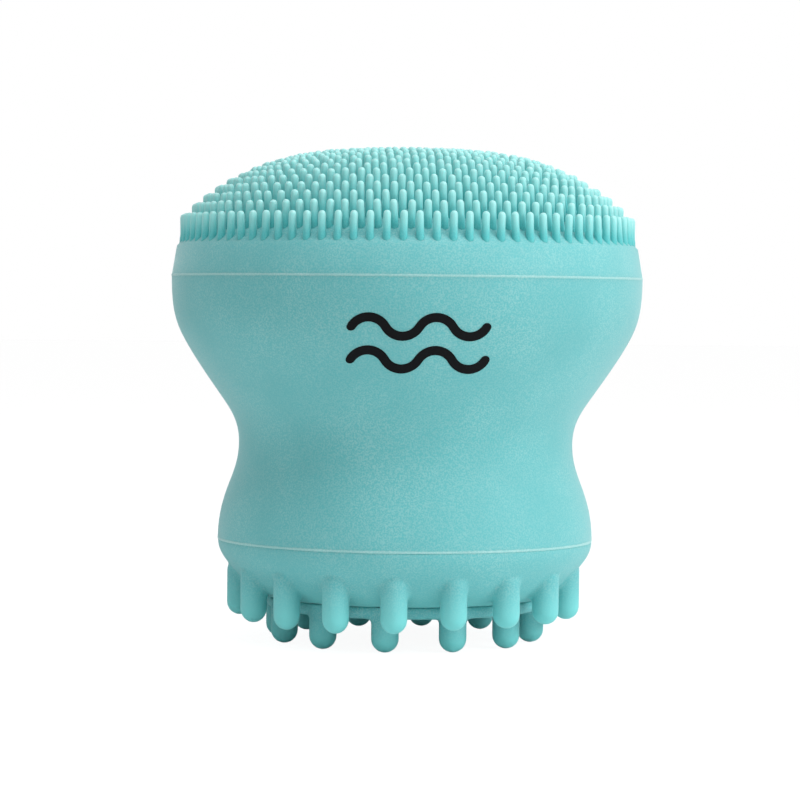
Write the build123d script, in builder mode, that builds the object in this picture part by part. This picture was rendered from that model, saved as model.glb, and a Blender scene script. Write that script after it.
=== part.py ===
from build123d import *

import math
import os

# Facial cleansing brush: a hollow silicone bulb with a domed head of fine bristles,
# a base with a ring of soft nubs, and a bottom plug with a second ring of nubs that
# closes the chamber for the foaming sponge.
# Millimetres. Z points up along the axis, Z = 0 is the surface the brush stands on,
# and the print faces -Y.

# ---- outline of the body ---------------------------------------------------------
shoulder_radius = 30.5  # widest ring of the bulb, at the upper seam
waist_radius = 21.65  # narrowest ring, where the fingers hold it
hip_radius = 24.3  # widest ring of the base, at the lower seam
upper_seam_z = 47.1
waist_z = 25.6
lower_seam_z = 13.2
hip_turn = (0.48, 0.55)  # a point below the waist: shares of the way down and out
flare_start = (0.272, 0.255)  # points above the waist: shares of the way up and out
flare_end = (0.61, 0.796)
wall = 2.6  # silicone wall of the bulb and the head

# ---- joints between the mouldings -------------------------------------------------
seat_depth = 3.0  # how far each spigot reaches into the bulb
spigot_wall = 1.6
bond_gap = 0.1  # room for the adhesive round a spigot
flash_reach = 0.1  # raised line of flash at each seam
flash_height = 0.35

# ---- head ------------------------------------------------------------------------
band_height = 3.8  # plain band between the upper seam and the dome
band_lean = 0.65  # how far the band leans in over its height
crown_height = 9.7  # from the top of the band to the top of the dome
crown_power = 3.2  # how flat the dome's middle is against its rim
dome_steps = 18  # points that its outline is drawn through
outlet_radius = 0.8  # hole in the top, which lets the foam out

# ---- bristles --------------------------------------------------------------------
bristle_length = 3.2
bristle_foot_radius = 0.5
bristle_tip_radius = 0.45
bristle_rings = 19
first_ring_radius = 2.0
rim_inset = 0.9  # from the band's edge in to the outermost ring
bristle_pitch = 2.02  # spacing along a ring
front_angle = -90  # the side of the print
bristle_root = 2.0  # stock below the dome, trimmed off along its surface

# ---- bottom plug -------------------------------------------------------------------
inner_nub_count = 12
inner_nub_radius = 1.75
ring_step = 4.9  # from the ring of outer nubs in to the ring of inner ones
inner_nub_phase = -11.2  # degrees from the front, towards +X
inner_nub_length = 4.2  # from the plug's underside to the tip
inner_nub_proud = 0.3  # how far the inner nubs stand out past the plug's flange
flange_thickness = 1.6
plate_thickness = 2.6
seat_width = 2.4  # overlap of the plug's flange and the base
plug_clearance = 0.05
neck_rise = 1.0  # how far the plug's neck stands above the base's floor
neck_wall = 2.2

# ---- base --------------------------------------------------------------------------
outer_nub_count = 18
outer_nub_radius = 1.7
outer_nub_inset = 2.9  # from the hip in to the middle of a nub
outer_nub_phase = -6.35
outer_nub_tip_z = 3.25
heel_z = 9.3  # where the hip has turned in to the nubs
bowl_slope = 0.35  # rise of the base's underside where it meets the plug
floor_thickness = 2.6
outer_nub_proud = 0.35  # how far the outer nubs stand out past the heel
outer_nub_root = 0.6  # how far they run up into the base, above the heel

# ---- sponge ------------------------------------------------------------------------
sponge_height = 30.0
sponge_clearance = 1.3  # sideways room when it is drawn out through the base
sponge_lift = 0.3  # above the neck of the plug
sponge_edge = 1.5

# ---- printed waves -------------------------------------------------------------------
ink_thickness = 0.15
stroke_width = 1.1
half_wave = 4.1  # length of each crest and each trough
half_waves = 4
wave_bend = 2.4  # radius of their arcs
upper_wave_drop = 6.2  # below the upper seam
lower_wave_drop = 10.2

# ---- derived sizes -----------------------------------------------------------------
band_top_radius = shoulder_radius - band_lean
band_top_z = upper_seam_z + band_height
dome_top_z = band_top_z + crown_height
upper_seat_radius = shoulder_radius - wall
lower_seat_radius = hip_radius - wall
upper_spigot_radius = upper_seat_radius - bond_gap
lower_spigot_radius = lower_seat_radius - bond_gap
chamber_radius = upper_spigot_radius - spigot_wall
base_bore_radius = lower_spigot_radius - spigot_wall
last_ring_radius = band_top_radius - rim_inset
ring_spacing = (last_ring_radius - first_ring_radius) / (bristle_rings - 1)

outer_ring_radius = hip_radius - outer_nub_inset
heel_radius = outer_ring_radius + outer_nub_radius - outer_nub_proud
inner_ring_radius = outer_ring_radius - ring_step
plug_bottom_z = inner_nub_length
flange_radius = inner_ring_radius + inner_nub_radius - inner_nub_proud
land_z = plug_bottom_z + flange_thickness
opening_radius = flange_radius - seat_width
floor_top_z = land_z + floor_thickness
neck_radius = opening_radius - plug_clearance
neck_top_z = floor_top_z + neck_rise

sponge_radius = opening_radius - sponge_clearance
sponge_bottom_z = neck_top_z + sponge_lift
upper_wave_z = upper_seam_z - upper_wave_drop
lower_wave_z = upper_seam_z - lower_wave_drop


def dome_height(radius):
    """Height of the dome's surface at a distance from the axis."""
    return band_top_z + crown_height * (1 - (radius / band_top_radius) ** crown_power)


def dome_slope(radius):
    """How steeply the dome falls away at a distance from the axis."""
    share = radius / band_top_radius
    return crown_height * crown_power / band_top_radius * share ** (crown_power - 1)


def dome_curve(reach, drop):
    """Draw the dome's outline from a radius in to the axis, lowered by drop."""
    radii = [reach * step / dome_steps for step in range(dome_steps, -1, -1)]
    Spline(
        [(radius, dome_height(radius) - drop) for radius in radii],
        tangents=[(-1, dome_slope(reach)), (-1, 0)],
    )


def bulb_point(seam_radius, seam_z, shares, inset):
    """A point between the waist and a seam, at shares of the way along and out."""
    along, out = shares
    radius = waist_radius + out * (seam_radius - waist_radius)
    return (radius - inset, waist_z + along * (seam_z - waist_z))


def bulb_curve(inset):
    """Draw the bulb's outline from seam to seam, with each radius less by inset."""
    waist = (waist_radius - inset, waist_z)
    Spline(
        (hip_radius - inset, lower_seam_z),
        bulb_point(hip_radius, lower_seam_z, hip_turn, inset),
        waist,
        tangents=[(0, 1), (0, 1)],
    )
    Spline(
        waist,
        bulb_point(shoulder_radius, upper_seam_z, flare_start, inset),
        bulb_point(shoulder_radius, upper_seam_z, flare_end, inset),
        (shoulder_radius - inset, upper_seam_z),
        tangents=[(0, 1), (0, 1)],
    )


def nub_outline(radius, tip_z, root_z):
    """Draw half of a round-ended nub that hangs from root_z down to tip_z."""
    Polyline((0, tip_z), (0, root_z), (radius, root_z), (radius, tip_z + radius))
    RadiusArc((radius, tip_z + radius), (0, tip_z), radius)


# ---- brush head ----------------------------------------------------------------------
with BuildPart() as brush_head:
    with BuildSketch(Plane.XZ):
        with BuildLine():
            dome_curve(band_top_radius, 0)
            Polyline(
                (0, dome_top_z),
                (0, upper_seam_z),
                (shoulder_radius, upper_seam_z),
                (band_top_radius, band_top_z),
            )
        make_face()
    revolve(axis=Axis.Z)
    with BuildSketch(Plane.XY.offset(upper_seam_z - seat_depth)):
        Circle(upper_spigot_radius)
    extrude(amount=seat_depth)
    with BuildSketch(Plane.XZ):
        with BuildLine():
            dome_curve(chamber_radius, wall)
            Polyline(
                (0, dome_top_z - wall),
                (0, upper_seam_z - seat_depth),
                (chamber_radius, upper_seam_z - seat_depth),
                (chamber_radius, dome_height(chamber_radius) - wall),
            )
        make_face()
    revolve(axis=Axis.Z, mode=Mode.SUBTRACT)
    with BuildSketch(Plane.XY.offset(dome_top_z)):
        Circle(outlet_radius)
    extrude(amount=2 * wall, both=True, mode=Mode.SUBTRACT)
brush_head.part.label = "brush_head"

# ---- bristles ------------------------------------------------------------------------
# Each bristle stands straight up on the dome, on a flat foot that lies along the dome's
# slope. One is made for each ring and then repeated round it.
trimmed_bristles = []
for ring in range(bristle_rings):
    ring_radius = first_ring_radius + ring * ring_spacing
    foot_z = dome_height(ring_radius)
    root_z = foot_z - bristle_root
    tip_z = foot_z + bristle_length
    with BuildPart() as bristle:
        with BuildSketch(Plane.XZ):
            with BuildLine():
                flank = Line(
                    (ring_radius + bristle_foot_radius, root_z),
                    (ring_radius + bristle_tip_radius, tip_z - bristle_tip_radius),
                )
                RadiusArc(flank @ 1, (ring_radius, tip_z), -bristle_tip_radius)
                Polyline((ring_radius, tip_z), (ring_radius, root_z), flank @ 0)
            make_face()
        revolve(axis=Axis((ring_radius, 0, 0), (0, 0, 1)))
        across_slope = (dome_slope(ring_radius), 0, 1)
        split(bisect_by=Plane(origin=(ring_radius, 0, foot_z), z_dir=across_slope))
    trimmed_bristles.append(bristle.part)

with BuildPart() as bristles:
    for ring, trimmed in enumerate(trimmed_bristles):
        ring_radius = first_ring_radius + ring * ring_spacing
        count = round(2 * math.pi * ring_radius / bristle_pitch)
        half_pitches = (bristle_rings - 1 - ring) % 2
        with PolarLocations(0, count, start_angle=front_angle + half_pitches * 180 / count):
            add(trimmed)
bristles.part.label = "bristles"

# ---- body shell ----------------------------------------------------------------------
with BuildPart() as body_shell:
    with BuildSketch(Plane.XZ):
        with BuildLine():
            bulb_curve(0)
            bulb_curve(wall)
            Line((hip_radius, lower_seam_z), (hip_radius - wall, lower_seam_z))
            Line((shoulder_radius, upper_seam_z), (shoulder_radius - wall, upper_seam_z))
        make_face()
    revolve(axis=Axis.Z)
    with BuildSketch(Plane.XY.offset(upper_seam_z)):
        Circle(upper_seat_radius)
    extrude(amount=-seat_depth, mode=Mode.SUBTRACT)
    with BuildSketch(Plane.XY.offset(lower_seam_z)):
        Circle(lower_seat_radius)
    extrude(amount=seat_depth, mode=Mode.SUBTRACT)
    with BuildSketch(Plane.XY.offset(upper_seam_z)):
        Circle(shoulder_radius + flash_reach)
        Circle(shoulder_radius - wall / 2, mode=Mode.SUBTRACT)
    extrude(amount=-flash_height)
    with BuildSketch(Plane.XY.offset(lower_seam_z)):
        Circle(hip_radius + flash_reach)
        Circle(hip_radius - wall / 2, mode=Mode.SUBTRACT)
    extrude(amount=flash_height)
body_shell.part.label = "body_shell"

# ---- base ring -----------------------------------------------------------------------
with BuildPart() as outer_nub:
    with BuildSketch(Plane.XZ):
        with BuildLine():
            nub_outline(outer_nub_radius, outer_nub_tip_z, heel_z + outer_nub_root)
        make_face()
    revolve(axis=Axis.Z)

with BuildPart() as base_ring:
    with BuildSketch(Plane.XZ):
        with BuildLine():
            Spline(
                (hip_radius, lower_seam_z),
                (heel_radius, heel_z),
                (flange_radius, land_z),
                tangents=[(0, -1), (-1, -bowl_slope)],
            )
            Polyline(
                (flange_radius, land_z),
                (opening_radius, land_z),
                (opening_radius, floor_top_z),
                (flange_radius, floor_top_z),
                (base_bore_radius, heel_z + floor_thickness / 2),
                (base_bore_radius, lower_seam_z + seat_depth),
                (lower_spigot_radius, lower_seam_z + seat_depth),
                (lower_spigot_radius, lower_seam_z),
                (hip_radius, lower_seam_z),
            )
        make_face()
    revolve(axis=Axis.Z)
    with PolarLocations(outer_ring_radius, outer_nub_count, front_angle + outer_nub_phase):
        add(outer_nub.part)
base_ring.part.label = "base_ring"

# ---- bottom plug -----------------------------------------------------------------------
with BuildPart() as inner_nub:
    with BuildSketch(Plane.XZ):
        with BuildLine():
            nub_outline(inner_nub_radius, 0, land_z)
        make_face()
    revolve(axis=Axis.Z)

with BuildPart() as bottom_plug:
    with BuildSketch(Plane.XZ):
        with BuildLine():
            Polyline(
                (0, plug_bottom_z),
                (flange_radius, plug_bottom_z),
                (flange_radius, land_z),
                (neck_radius, land_z),
                (neck_radius, neck_top_z),
                (neck_radius - neck_wall, neck_top_z),
                (neck_radius - neck_wall, plug_bottom_z + plate_thickness),
                (0, plug_bottom_z + plate_thickness),
                close=True,
            )
        make_face()
    revolve(axis=Axis.Z)
    with PolarLocations(inner_ring_radius, inner_nub_count, front_angle + inner_nub_phase):
        add(inner_nub.part)
bottom_plug.part.label = "bottom_plug"

# ---- foaming sponge ----------------------------------------------------------------------
with BuildPart() as foaming_sponge:
    with BuildSketch(Plane.XY.offset(sponge_bottom_z)):
        Circle(sponge_radius)
    extrude(amount=sponge_height)
    fillet(foaming_sponge.edges().filter_by(GeomType.CIRCLE), sponge_edge)
foaming_sponge.part.label = "foaming_sponge"

# ---- printed waves ------------------------------------------------------------------------
# Two wavy strokes, cut from a film of ink that follows the bulb.
with BuildPart() as ink_film:
    with BuildSketch(Plane.XZ):
        with BuildLine():
            bulb_curve(-ink_thickness)
            bulb_curve(0)
            Line((hip_radius, lower_seam_z), (hip_radius + ink_thickness, lower_seam_z))
            Line((shoulder_radius, upper_seam_z), (shoulder_radius + ink_thickness, upper_seam_z))
        make_face()
    revolve(axis=Axis.Z)

with BuildLine() as wave:
    for index in range(half_waves):
        left = (index - half_waves / 2) * half_wave
        bend = wave_bend if index % 2 == 0 else -wave_bend
        RadiusArc((left, 0), (left + half_wave, 0), bend)
wave_line = wave.wires()[0]

with BuildPart() as upper_wave_print:
    with BuildSketch(Plane.XZ):
        with Locations((0, upper_wave_z)):
            SlotArc(wave_line, stroke_width)
    extrude(amount=2 * shoulder_radius)
    add(ink_film.part, mode=Mode.INTERSECT)
upper_wave_print.part.label = "upper_wave_print"

with BuildPart() as lower_wave_print:
    with BuildSketch(Plane.XZ):
        with Locations((0, lower_wave_z)):
            SlotArc(wave_line, stroke_width)
    extrude(amount=2 * shoulder_radius)
    add(ink_film.part, mode=Mode.INTERSECT)
lower_wave_print.part.label = "lower_wave_print"

# ---- files -------------------------------------------------------------------------------
os.makedirs("parts", exist_ok=True)
export_step(brush_head.part, "parts/brush_head.step")
export_step(bristles.part, "parts/bristles.step")
export_step(body_shell.part, "parts/body_shell.step")
export_step(base_ring.part, "parts/base_ring.step")
export_step(bottom_plug.part, "parts/bottom_plug.step")
export_step(foaming_sponge.part, "parts/foaming_sponge.step")
export_step(upper_wave_print.part, "parts/upper_wave_print.step")
export_step(lower_wave_print.part, "parts/lower_wave_print.step")
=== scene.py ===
"""A facial cleansing brush in soft teal silicone.

A hollow bulb carries a domed head of fine bristles and stands on a base with a ring of
soft nubs. A plug with a second ring of nubs closes the base and holds the foaming sponge.
Lengths are metres, Z points up along the brush's axis and the print faces -Y.
"""

from __future__ import annotations

import logging
import math
import random
from collections import Counter
from collections.abc import Callable, Sequence
from dataclasses import dataclass, field
from enum import Enum

import bpy
from mathutils import Matrix, Vector


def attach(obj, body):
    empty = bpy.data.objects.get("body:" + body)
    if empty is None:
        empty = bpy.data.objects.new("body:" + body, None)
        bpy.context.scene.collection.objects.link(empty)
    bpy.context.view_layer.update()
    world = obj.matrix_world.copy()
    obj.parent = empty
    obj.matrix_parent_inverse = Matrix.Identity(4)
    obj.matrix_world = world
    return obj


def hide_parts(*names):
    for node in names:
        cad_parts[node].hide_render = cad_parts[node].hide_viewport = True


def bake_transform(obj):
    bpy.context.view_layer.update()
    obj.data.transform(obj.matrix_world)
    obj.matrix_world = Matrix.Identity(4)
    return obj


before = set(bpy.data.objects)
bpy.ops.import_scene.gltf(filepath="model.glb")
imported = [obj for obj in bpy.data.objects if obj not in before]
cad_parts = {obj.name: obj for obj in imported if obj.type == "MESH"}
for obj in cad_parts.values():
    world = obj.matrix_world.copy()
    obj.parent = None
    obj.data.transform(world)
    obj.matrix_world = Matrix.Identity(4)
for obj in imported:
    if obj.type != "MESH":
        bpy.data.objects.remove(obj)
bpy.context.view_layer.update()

LOG = logging.getLogger("cleansing_brush")

Point = tuple[float, float]
Span = tuple[float, float]
Colour = tuple[float, float, float]

SEED = 20
SPECK = 1e-4  # size of the square that a drawn outline starts from
WELD = 1e-6  # vertices nearer than this become one
FRONT = math.radians(-90)  # the side of the print
QUARTER = math.pi / 2
CREASE = 40.0  # edges of a turned wall that are sharper than this, in degrees, stay sharp
ROUGH_CREASE = 60.0  # the same on an uneven surface
SMOOTHING = 0.5  # how far one pass of smoothing moves a vertex
SKIN_PASSES = 3  # passes that take the steps out of a fused skin
WHITE = (1, 1, 1, 1)
NOISE_SPAN = (0.3, 0.7)  # between these lies most of what a noise gives


class Rider(Enum):
    """The CAD bodies that pieces ride on."""

    BULB = "body"
    HEAD = "head"
    PLUG = "plug"
    SPONGE = "sponge"


class Slot(Enum):
    """The record's material slots."""

    HEAD = "head_silicone"
    BRISTLE = "bristle_silicone"
    BULB = "body_silicone"
    BASE = "base_silicone"
    PLUG = "plug_silicone"
    SPONGE = "sponge_foam"
    INK = "black_ink"


# ---- operators, as small tools ---------------------------------------------------------


def deselect_all() -> None:
    """Deselect every object."""
    bpy.ops.object.select_all(action="DESELECT")


def pick(*pieces: bpy.types.Object) -> None:
    """Select these pieces alone and make the first one active.

    Args:
        pieces: the pieces.
    """
    deselect_all()
    for piece in pieces:
        piece.select_set(True)
    bpy.context.view_layer.objects.active = pieces[0]


def start_outline(name: str, place: Vector) -> bpy.types.Object:
    """Add a plane, merge it into a single vertex at a place and stay in edit mode.

    Args:
        name: the new piece's name.
        place: where the vertex goes.

    Returns:
        The new piece, in edit mode with its vertex selected.
    """
    deselect_all()
    bpy.ops.mesh.primitive_plane_add(size=SPECK, location=(0, 0, 0))
    piece = bpy.context.object
    piece.name = piece.data.name = name
    bpy.ops.object.mode_set(mode="EDIT")
    bpy.ops.mesh.select_all(action="SELECT")
    bpy.ops.mesh.merge(type="CENTER")
    bpy.ops.transform.translate(value=place)
    return piece


def close_skin() -> None:
    """Weld the doubles of the mesh in edit mode, turn its faces outwards and leave edit mode."""
    bpy.ops.mesh.select_all(action="SELECT")
    bpy.ops.mesh.remove_doubles(threshold=WELD)
    bpy.ops.mesh.normals_make_consistent(inside=False)
    bpy.ops.object.mode_set(mode="OBJECT")


def spun_form(name: str, outline: Sequence[Point], steps: int) -> bpy.types.Object:
    """Draw an outline vertex by vertex and spin it round the axis into a skin.

    Args:
        name: the new piece's name.
        outline: (radius, height) points in order.
        steps: how many facets go round.

    Returns:
        The new piece, in object mode.
    """
    (radius, height), *_ = outline
    piece = start_outline(name, Vector((radius, 0, height)))
    for here, there in zip(outline, outline[1:]):
        step = (there[0] - here[0], 0, there[1] - here[1])
        bpy.ops.mesh.extrude_vertices_move(TRANSFORM_OT_translate={"value": step})
    bpy.ops.mesh.select_all(action="SELECT")
    bpy.ops.mesh.spin(steps=steps, angle=math.tau, center=(0, 0, 0), axis=(0, 0, 1))
    close_skin()
    return piece


def bezier(start: Point, pull: Point, draw: Point, end: Point, steps: int) -> list[Point]:
    """Points along a Bezier run, from its start up to but not with its end.

    Args:
        start: the first point.
        pull: the handle that leaves it.
        draw: the handle that reaches the end.
        end: the last point.
        steps: how many points are returned.

    Returns:
        The points in order.
    """
    points = []
    for step in range(steps):
        t = step / steps
        shares = ((1 - t) ** 3, 3 * t * (1 - t) ** 2, 3 * t * t * (1 - t), t**3)
        points.append(
            tuple(
                sum(share * corner[axis] for share, corner in zip(shares, (start, pull, draw, end)))
                for axis in range(2)
            )
        )
    return points


def quarter_turn(steps: int) -> list[Point]:
    """Points of a quarter turn, from its foot to its side, as (across, up) shares of its radius."""
    angles = [QUARTER * step / steps for step in range(steps + 1)]
    return [(math.sin(angle), 1 - math.cos(angle)) for angle in angles]


def copied(piece: bpy.types.Object, place: Matrix) -> bpy.types.Object:
    """Copy a piece with its own mesh and put the copy's place into that mesh.

    Args:
        piece: the piece to copy.
        place: where the copy goes.

    Returns:
        The copy.
    """
    twin = piece.copy()
    twin.data = piece.data.copy()
    twin.data.transform(place)
    bpy.context.scene.collection.objects.link(twin)
    return twin


def joined(name: str, pieces: Sequence[bpy.types.Object]) -> bpy.types.Object:
    """Join pieces into the first of them and name the result.

    Args:
        name: the result's name.
        pieces: the pieces, which are used up.

    Returns:
        The joined piece.
    """
    pick(*pieces)
    bpy.ops.object.join()
    piece = bpy.context.object
    piece.name = piece.data.name = name
    return piece


def worked(piece: bpy.types.Object, kind: str, **settings: object) -> None:
    """Add a modifier of a kind to a piece, give it its settings and apply it.

    Args:
        piece: the piece.
        kind: Blender's name for the kind.
        settings: values of its settings, by name.
    """
    pick(piece)
    modifier = piece.modifiers.new(kind.lower(), kind)
    for setting, value in settings.items():
        setattr(modifier, setting, value)
    bpy.ops.object.modifier_apply(modifier=modifier.name)


def grouped(piece: bpy.types.Object, name: str, weight: Callable[[Vector], float]) -> str:
    """Give a piece a vertex group whose weights come from each vertex's place.

    Args:
        piece: the piece that gets the group.
        name: the group's name.
        weight: a function from a vertex's place to its weight.

    Returns:
        The group's name.
    """
    group = piece.vertex_groups.new(name=name)
    for vertex in piece.data.vertices:
        share = weight(vertex.co)
        if share > 0:
            group.add([vertex.index], min(share, 1.0), "REPLACE")
    return name


def smooth_edges(piece: bpy.types.Object, angle: float) -> None:
    """Shade a piece smooth, apart from edges sharper than an angle in degrees."""
    pick(piece)
    bpy.ops.object.shade_smooth_by_angle(angle=math.radians(angle))


def remove(*pieces: bpy.types.Object) -> None:
    """Delete pieces that were only patterns for copies."""
    for piece in pieces:
        bpy.data.objects.remove(piece)


# ---- finishes ----------------------------------------------------------------------------


def linear(red: int, green: int, blue: int) -> Colour:
    """Turn a colour of 0 to 255 per channel into the linear values that shaders take."""
    shares = [channel / 255 for channel in (red, green, blue)]
    return tuple(s / 12.92 if s <= 0.04045 else ((s + 0.055) / 1.055) ** 2.4 for s in shares)


class Tree:
    """A shader node tree, built node by node."""

    def __init__(self, owner: bpy.types.Material | bpy.types.World, empty: bool = False) -> None:
        """Work on the node tree of a material or a world.

        Args:
            owner: the material or the world.
            empty: whether the nodes that it starts with are cleared away.
        """
        owner.use_nodes = True
        self.tree = owner.node_tree
        if empty:
            self.tree.nodes.clear()

    def node(self, kind: str, **values: object) -> bpy.types.Node:
        """Add a node and set its properties, or else the inputs of those names.

        Args:
            kind: Blender's name for the kind.
            values: values of its properties or inputs, by name.

        Returns:
            The node.
        """
        node = self.tree.nodes.new(kind)
        for name, value in values.items():
            if hasattr(node, name):
                setattr(node, name, value)
            else:
                node.inputs[name.replace("_", " ").title()].default_value = value
        return node

    def link(self, source: bpy.types.NodeSocket, target: bpy.types.NodeSocket) -> None:
        """Join an output to an input."""
        self.tree.links.new(source, target)

    def reckon(
        self, operation: str, first: bpy.types.NodeSocket, second: bpy.types.NodeSocket | float
    ) -> bpy.types.NodeSocket:
        """Work out a value from two others.

        Args:
            operation: what is done with them.
            first: the first one.
            second: the second one, or a plain number.

        Returns:
            The result.
        """
        node = self.node("ShaderNodeMath", operation=operation)
        self.link(first, node.inputs[0])
        if isinstance(second, bpy.types.NodeSocket):
            self.link(second, node.inputs[1])
        else:
            node.inputs[1].default_value = second
        return node.outputs[0]

    def spread(
        self, source: bpy.types.NodeSocket, low: float, high: float, to_low: float, to_high: float
    ) -> bpy.types.NodeSocket:
        """Map a value from one range to another, clamped at both ends.

        Args:
            source: the value.
            low: where its range starts.
            high: where its range ends.
            to_low: what the start becomes.
            to_high: what the end becomes.

        Returns:
            The mapped value.
        """
        node = self.node("ShaderNodeMapRange")
        self.link(source, node.inputs["Value"])
        for socket, value in zip(node.inputs[1:5], (low, high, to_low, to_high)):
            socket.default_value = value
        return node.outputs["Result"]

    def finish(
        self, kind: str, share: bpy.types.NodeSocket, first: bpy.types.Node, second: bpy.types.Node
    ) -> None:
        """Mix two shaders by a share and make the mix the output of this kind.

        Args:
            kind: Blender's name for the output.
            share: the second shader's share.
            first: the first shader.
            second: the second shader.
        """
        mix = self.node("ShaderNodeMixShader")
        sources = (share, first.outputs[0], second.outputs[0])
        for source, socket in zip(sources, mix.inputs):
            self.link(source, socket)
        self.link(mix.outputs[0], self.node(kind).inputs["Surface"])


@dataclass(frozen=True)
class Clouds:
    """Soft darker clouds in a finish.

    Attributes:
        scale: how many there are in a metre.
        detail: how fine their edges are.
        span: the noise where a cloud starts and where it is full.
        most: a full cloud's share of the shade.
        shade: the shade's brightness, as a share of the plain colour's.
    """

    scale: float = 110.0
    detail: float = 2.0
    span: Span = (0.35, 0.7)
    most: float = 0.5
    shade: float = 0.93


class Recipe(Tree):
    """One material round a Principled shader, on the piece's own coordinates."""

    def __init__(self, name: str) -> None:
        """Start a material with a Principled shader.

        Args:
            name: the material's name.
        """
        self.material = bpy.data.materials.new(name)
        super().__init__(self.material)
        self.shader = self.tree.nodes["Principled BSDF"]
        self.place = self.node("ShaderNodeTexCoord").outputs["Object"]

    def set(self, **values: object) -> None:
        """Set sockets of the Principled shader that are the same all over."""
        for name, value in values.items():
            self.shader.inputs[name.replace("_", " ")].default_value = value

    def feed(self, name: str, source: bpy.types.NodeSocket) -> None:
        """Feed a value to a socket of the Principled shader."""
        self.link(source, self.shader.inputs[name])

    def noise(self, scale: float, detail: float, roughness: float = 0.5) -> bpy.types.NodeSocket:
        """Add a noise on the piece's own coordinates.

        Args:
            scale: how many bumps there are in a metre.
            detail: how many finer layers it has.
            roughness: how strong the finer layers are.

        Returns:
            Its value.
        """
        node = self.node("ShaderNodeTexNoise", scale=scale, detail=detail, roughness=roughness)
        self.link(self.place, node.inputs["Vector"])
        return node.outputs["Fac"]

    def clouded(
        self, colour: bpy.types.NodeSocket, plain: Colour, clouds: Clouds
    ) -> bpy.types.NodeSocket:
        """Darken a colour in soft clouds, whose shade comes from the plain colour.

        Args:
            colour: the colour so far.
            plain: the plain colour.
            clouds: the clouds.

        Returns:
            The clouded colour.
        """
        cover = self.noise(clouds.scale, clouds.detail)
        share = self.spread(cover, *clouds.span, 0.0, clouds.most)
        return self.mix(share, colour, tuple(channel * clouds.shade for channel in plain))

    def mix(
        self,
        share: bpy.types.NodeSocket,
        first: bpy.types.NodeSocket | Colour,
        second: bpy.types.NodeSocket | Colour,
    ) -> bpy.types.NodeSocket:
        """Mix two colours by a share.

        Args:
            share: the second colour's share.
            first: the first colour.
            second: the second colour.

        Returns:
            The mixed colour.
        """
        node = self.node("ShaderNodeMix", data_type="RGBA")
        self.link(share, node.inputs["Factor"])
        for socket, colour in ((node.inputs[6], first), (node.inputs[7], second)):
            if isinstance(colour, bpy.types.NodeSocket):
                self.link(colour, socket)
            else:
                socket.default_value = (*colour, 1)
        return node.outputs[2]

    def bump(self, height: bpy.types.NodeSocket, depth: float) -> None:
        """Feed a height of a given depth to the shader's normal.

        Args:
            height: the height, from 0 to 1.
            depth: what 1 stands for.
        """
        node = self.node("ShaderNodeBump", strength=1.0, distance=depth)
        self.link(height, node.inputs["Height"])
        self.feed("Normal", node.outputs["Normal"])


@dataclass(frozen=True)
class SiliconeFinish:
    """Soft matte silicone with a fine grain, painted paler where it is thin as a painted glow of
    light through it.

    Attributes:
        name: the material's name.
        colour: the colour of thick stock.
        fleck: the colour of the grain's paler specks.
        thin: the colour of thin tips, a painted glow that stands in for light coming through them.
        thin_span: heights where the painted glow is full and where it ends, if it is used.
        thin_glow_attribute: the attribute that gives the painted glow's share instead.
        grain: how many grains there are in a metre.
        grain_depth: height of the grain.
        fleck_span: the grain where a fleck starts and where it is full.
        fleck_most: a full fleck's share of its colour.
        clouds: the darker clouds in it.
        roughness: least and greatest roughness of its surface.
        sheen: how much its edges pale.
        glow: how much light travels inside it.
    """

    name: str
    colour: Colour
    fleck: Colour
    thin: Colour
    thin_span: Span | None = None
    thin_glow_attribute: str | None = None
    grain: float = 5200.0
    grain_depth: float = 0.000014
    fleck_span: Span = (0.42, 0.64)
    fleck_most: float = 0.52
    clouds: Clouds = Clouds()
    roughness: Span = (0.52, 0.64)
    sheen: float = 0.36
    glow: float = 0.22

    def material(self) -> bpy.types.Material:
        """Build the material.

        Returns:
            The material.
        """
        recipe = Recipe(self.name)
        grain = recipe.noise(self.grain, 1.0)
        flecks = recipe.spread(grain, *self.fleck_span, 0.0, self.fleck_most)
        colour = recipe.mix(flecks, self.colour, self.fleck)
        colour = recipe.clouded(colour, self.colour, self.clouds)
        # painted light: thin parts are mixed towards a paler colour that stands in for light coming
        # through them
        share = self.thin_glow_share(recipe)
        if share is not None:
            colour = recipe.mix(share, colour, self.thin)
        recipe.feed("Base Color", colour)
        recipe.feed("Roughness", recipe.spread(grain, *NOISE_SPAN, *self.roughness))
        recipe.set(
            Subsurface_Weight=self.glow,
            Subsurface_Radius=(0.6, 1.0, 1.0),
            Subsurface_Scale=0.0016,
            Specular_IOR_Level=0.42,
            Sheen_Weight=self.sheen,
            Sheen_Roughness=0.35,
            Sheen_Tint=(0.92, 0.97, 0.97, 1),
            IOR=1.42,
        )
        recipe.bump(grain, self.grain_depth)
        return recipe.material

    def thin_glow_share(self, recipe: Recipe) -> bpy.types.NodeSocket | None:
        """Find the share of the painted glow of thin parts, by an attribute or by height.

        Args:
            recipe: the material's recipe.

        Returns:
            The share, or None where no painted glow is used.
        """
        if self.thin_glow_attribute is not None:
            source = recipe.node("ShaderNodeAttribute", attribute_name=self.thin_glow_attribute)
            return source.outputs["Fac"]
        if self.thin_span is None:
            return None
        split = recipe.node("ShaderNodeSeparateXYZ")
        recipe.link(recipe.place, split.inputs["Vector"])
        return recipe.spread(split.outputs["Z"], *self.thin_span, 1.0, 0.0)


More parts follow.
